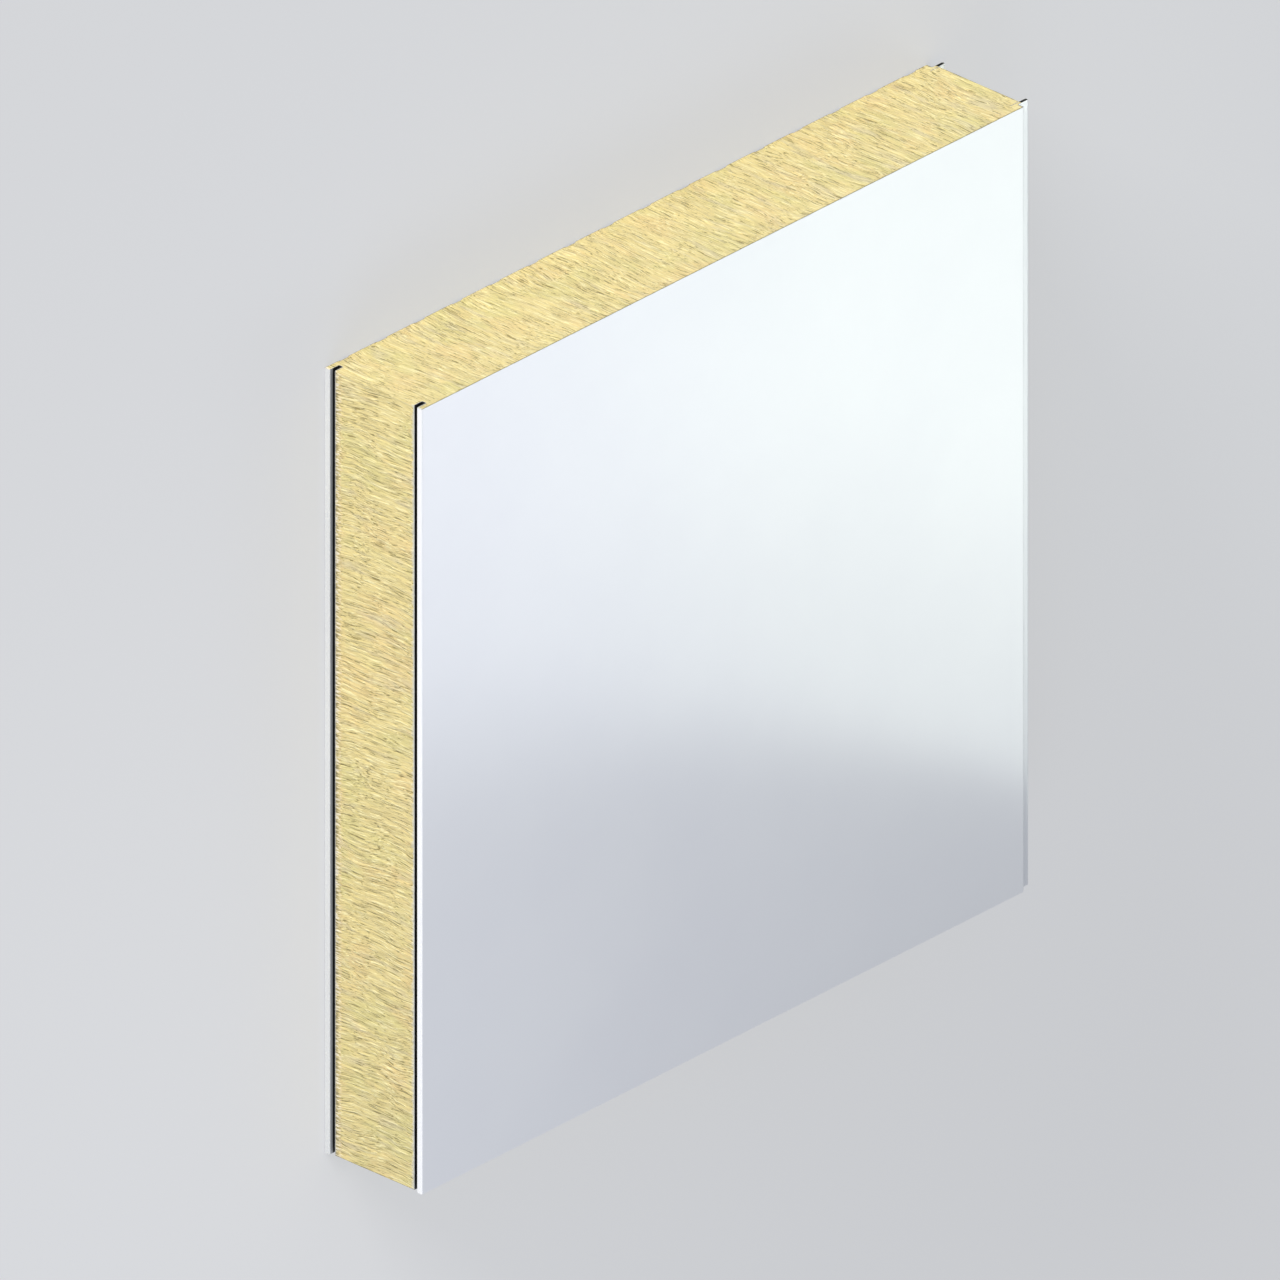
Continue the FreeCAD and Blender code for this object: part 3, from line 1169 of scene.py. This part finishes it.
@dataclass
class FaceCard:
    """Wide gridded soft box that shows in the outer face's gloss.

    It faces the panel squarely along the mirrored view. Its lower edge is cut to a gentle curve,
    and its light fades towards that edge and towards the groove side.

    Attributes:
        distance: metres from the outer face.
        size: width and height of the box.
        centre: how far its middle stands from the mirrored middle of the face, both ways.
        spread: degrees that its grid lets the light fan out.
        brightness: radiance at its brightest.
        colours: sRGB colours of its light towards the groove side and elsewhere.
        turn: where along X, from the face's middle, one colour starts and ends turning into the
            other.
        edge: height, slope and curve of the lower edge, as mirrored on the face.
        softness: width of the lower edge's fade at the middle, and its change along X.
        least_fade: width of that fade at its sharpest.
    """

    distance: float = 2.0
    size: tuple[float, float] = (2.0, 1.3)
    centre: tuple[float, float] = (0.06, 0.2)
    spread: float = 40.0
    brightness: float = 6.6
    colours: tuple[str, str] = ("#F1F6FF", "#F6FFF5")
    turn: tuple[float, float] = (-0.5, 0.1)
    edge: tuple[float, float, float] = (-0.105, -0.43, -0.17)
    softness: tuple[float, float] = (0.17, -0.24)
    least_fade: float = 0.04

    def add(self, middle: Vector, mirrored: Vector) -> None:
        """Set the card up where the outer face mirrors it.

        Args:
            middle: middle of the outer face.
            mirrored: direction in which that face mirrors the camera's view.
        """
        half = math.radians(self.spread) / 2
        gathered = math.tan(half) / (math.tan(half) - half)
        energy = self.brightness * math.pi * self.size[0] * self.size[1] / gathered
        side = Vector((1, 0, 0))
        side = (side - mirrored * mirrored.dot(side)).normalized()
        rise = mirrored.cross(side)
        place = middle + mirrored * self.distance
        place += side * self.centre[0] + rise * self.centre[1]
        turned = Matrix((side, rise, mirrored)).transposed()
        data = add_softbox("face_card", self.size, energy, place, turned)
        data.spread = math.radians(self.spread)
        data.use_nodes = True
        data.node_tree.nodes.clear()
        self.shade(partial(add_node, data.node_tree), middle, mirrored)

    def shade(self, add: Adder, middle: Vector, mirrored: Vector) -> None:
        """Cut the card's lower edge and fade its light.

        Args:
            add: adds a node to the light's tree.
            middle: middle of the outer face.
            mirrored: direction from the face to the card.
        """
        lit = add("NewGeometry").outputs["Position"]
        spot = add("VectorMath", {0: lit, 1: middle}, operation="SUBTRACT")
        height = add("SeparateXYZ", {"Vector": spot}).outputs["Z"]
        down = {0: -mirrored / mirrored.z, "Scale": height}
        slant = add("VectorMath", down, operation="SCALE")
        foot = add("VectorMath", {0: spot, 1: slant}, operation="ADD")
        mirrored_at = add("SeparateXYZ", {"Vector": foot}).outputs
        x, y = mirrored_at["X"], mirrored_at["Y"]
        base, slope, curve = self.edge
        bend = add("Math", {0: x, 1: curve, 2: slope}, operation="MULTIPLY_ADD")
        border = add("Math", {0: x, 1: bend, 2: base}, operation="MULTIPLY_ADD")
        above = add("Math", {0: y, 1: border}, operation="SUBTRACT")
        width, change = self.softness
        fade = add("Math", {0: x, 1: change, 2: width}, operation="MULTIPLY_ADD")
        fade = add("Math", {0: fade, 1: self.least_fade}, operation="MAXIMUM")
        near = add("Math", {0: above, 1: fade}, operation="DIVIDE")
        strength: bpy.types.Node | float = 1.0
        for follows, start, end, least in (
            (near, -0.5, 0.5, 0.0),
            (above, 0.0, 0.5, 0.62),
            (x, -0.6, 0.4, 0.78),
        ):
            level = add(
                "MapRange",
                {"Value": follows, "From Min": start, "From Max": end, "To Min": least},
                interpolation_type="SMOOTHSTEP",
            )
            strength = add("Math", {0: strength, 1: level}, operation="MULTIPLY")
        start, end = self.turn
        sideways = add("MapRange", {"Value": x, "From Min": start, "From Max": end})
        shades = list(zip((0.0, 1.0), self.colours))
        colour = add("ValToRGB", {"Fac": sideways}, stops=shades)
        glow = add("Emission", {"Color": colour, "Strength": strength})
        add("OutputLight", {"Surface": glow})


@dataclass
class Studio:
    """A pale floor, soft lights and the camera.

    The camera looks down on the lying panel with no perspective, and is rolled so that the
    panel's length points up in the picture.

    Attributes:
        floor_colour: sRGB colour of the floor.
        floor_gap: how far the floor lies below the panel.
        floor_half: half the floor's width.
        floor_share: how much of the floor's seen colour its shading doesn't touch.
        sky_colour: sRGB colour of the even light from all round.
        sky_level: its strength.
        lamps: the lamps beside the face card.
        turn: degrees from square to the outer face, towards the groove edge.
        raise_angle: degrees above the panel's cross-section plane.
        width: metres that the picture's width covers.
        shift_right: metres from the panel's middle to the picture's middle, to the right.
        shift_up: the same, upwards.
        distance: from the panel's middle to the camera.
    """

    floor_colour: str = "#E4E5E7"
    floor_gap: float = 0.3 * MM
    floor_half: float = 15.0
    floor_share: float = 0.6
    sky_colour: str = "#ECF1FC"
    sky_level: float = 0.4
    lamps: tuple[SoftLamp, ...] = (
        SoftLamp("key", (-0.61, 0.75, 0.115), 14.0, (6.2, 2.5), 1.015, "#FFFCF6"),
        SoftLamp("overhead", (-1.1, -0.62, 1.35), 1.9, (1.2, 1.2), 0.2, "#F2F6FF"),
    )
    turn: float = 47.1
    raise_angle: float = 27.88
    width: float = 1.442
    shift_right: float = -0.0443
    shift_up: float = -0.0146
    distance: float = 6.0

    def view_axes(self) -> tuple[Vector, Vector, Vector]:
        """Work out the camera's axes.

        Returns:
            The directions of the picture's right, its top, and from the panel to the camera.
        """
        turn, lift = math.radians(self.turn), math.radians(self.raise_angle)
        right = Vector((math.cos(turn), 0, math.sin(turn)))
        level = Vector((-math.sin(turn), 0, math.cos(turn)))
        towards = level * math.cos(lift) + Vector((0, 1, 0)) * math.sin(lift)
        return right, towards.cross(right), towards

    def add_camera(self, middle: Vector) -> None:
        """Add the camera and make it the scene's.

        Args:
            middle: middle of the panel.
        """
        right, top, towards = self.view_axes()
        data = bpy.data.cameras.new("camera")
        data.type = "ORTHO"
        data.ortho_scale = self.width
        data.clip_end = 50
        camera = link_object("camera", data)
        place = middle + right * self.shift_right + top * self.shift_up
        place += towards * self.distance
        turned = Matrix((right, top, towards)).transposed().to_4x4()
        camera.matrix_world = Matrix.Translation(place) @ turned
        bpy.context.scene.camera = camera

    def add_floor(self) -> None:
        """Lay the floor that the panel rests on."""
        half, low = self.floor_half, LOW.z - self.floor_gap
        mesh = bpy.data.meshes.new("floor")
        corners = [(-half, -half, low), (half, -half, low), (half, half, low), (-half, half, low)]
        mesh.from_pydata(corners, [], [(0, 1, 2, 3)])
        material, add = new_material("plain_floor")
        colour = linear(self.floor_colour)
        shader = add("BsdfDiffuse", {"Color": colour, "Roughness": 0.5})
        seen = add("Emission", {"Color": colour})
        sight = {0: self.looked_at(add), 1: self.floor_share}
        share = add("Math", sight, operation="MULTIPLY")
        mixed = add("MixShader", {0: share, 1: shader, 2: seen})
        add("OutputMaterial", {"Surface": mixed})
        mesh.materials.append(material)
        link_object("floor", mesh)

    def looked_at(self, add: Adder) -> bpy.types.Node:
        """Find whether a ray carries sight rather than light.

        Args:
            add: adds a node to the floor's or the world's tree.

        Returns:
            The node that gives 1 for rays seen directly, in a gloss or through something clear,
            and else 0.
        """
        path = add("LightPath").outputs
        seen = path["Is Camera Ray"]
        for ray in ("Is Glossy Ray", "Is Transmission Ray"):
            seen = add("Math", {0: seen, 1: path[ray]}, operation="MAXIMUM")
        return seen

    def add_world(self) -> None:
        """Set the even light from all round, and the plain background behind the floor."""
        world = bpy.data.worlds.new("studio")
        world.use_nodes = True
        world.node_tree.nodes.clear()
        add = partial(add_node, world.node_tree)
        sky_colour, floor_colour = linear(self.sky_colour), linear(self.floor_colour)
        sky = add("Background", {"Color": sky_colour, "Strength": self.sky_level})
        seen = add("Background", {"Color": floor_colour, "Strength": 1.0})
        mixed = add("MixShader", {0: self.looked_at(add), 1: sky, 2: seen})
        add("OutputWorld", {"Surface": mixed})
        bpy.context.scene.world = world

    def build(self) -> None:
        """Set up the whole studio."""
        middle = (LOW + HIGH) / 2
        towards = self.view_axes()[2]
        self.add_floor()
        self.add_world()
        for lamp in self.lamps:
            lamp.add(middle)
        face = Vector((middle.x, middle.y, HIGH.z))
        FaceCard().add(face, Vector((-towards.x, -towards.y, towards.z)))
        self.add_camera(middle)
        bpy.context.scene.view_settings.view_transform = "Standard"


def main() -> None:
    """Build the panel piece by piece, light it and look at it."""
    logging.basicConfig(level=logging.INFO, format="%(name)s: %(message)s")
    backing = BackingCoat().make()
    edge = SawnSteelEdge().make()
    outer = CoilCoating()
    inner = CoilCoating(name="grey_white_polyester_coating", colour="#D9DBDC", shade="#D6D8DA")
    FoldedFacing(Side.OUTER, 0.6 * MM, "outer_steel", outer).build(backing, edge)
    FoldedFacing(Side.INNER, 0.5 * MM, "inner_steel", inner, lining=LiningSizes()).build(backing, edge)
    WoolCore().build()
    Studio().build()


if __name__ == "__main__":
    main()
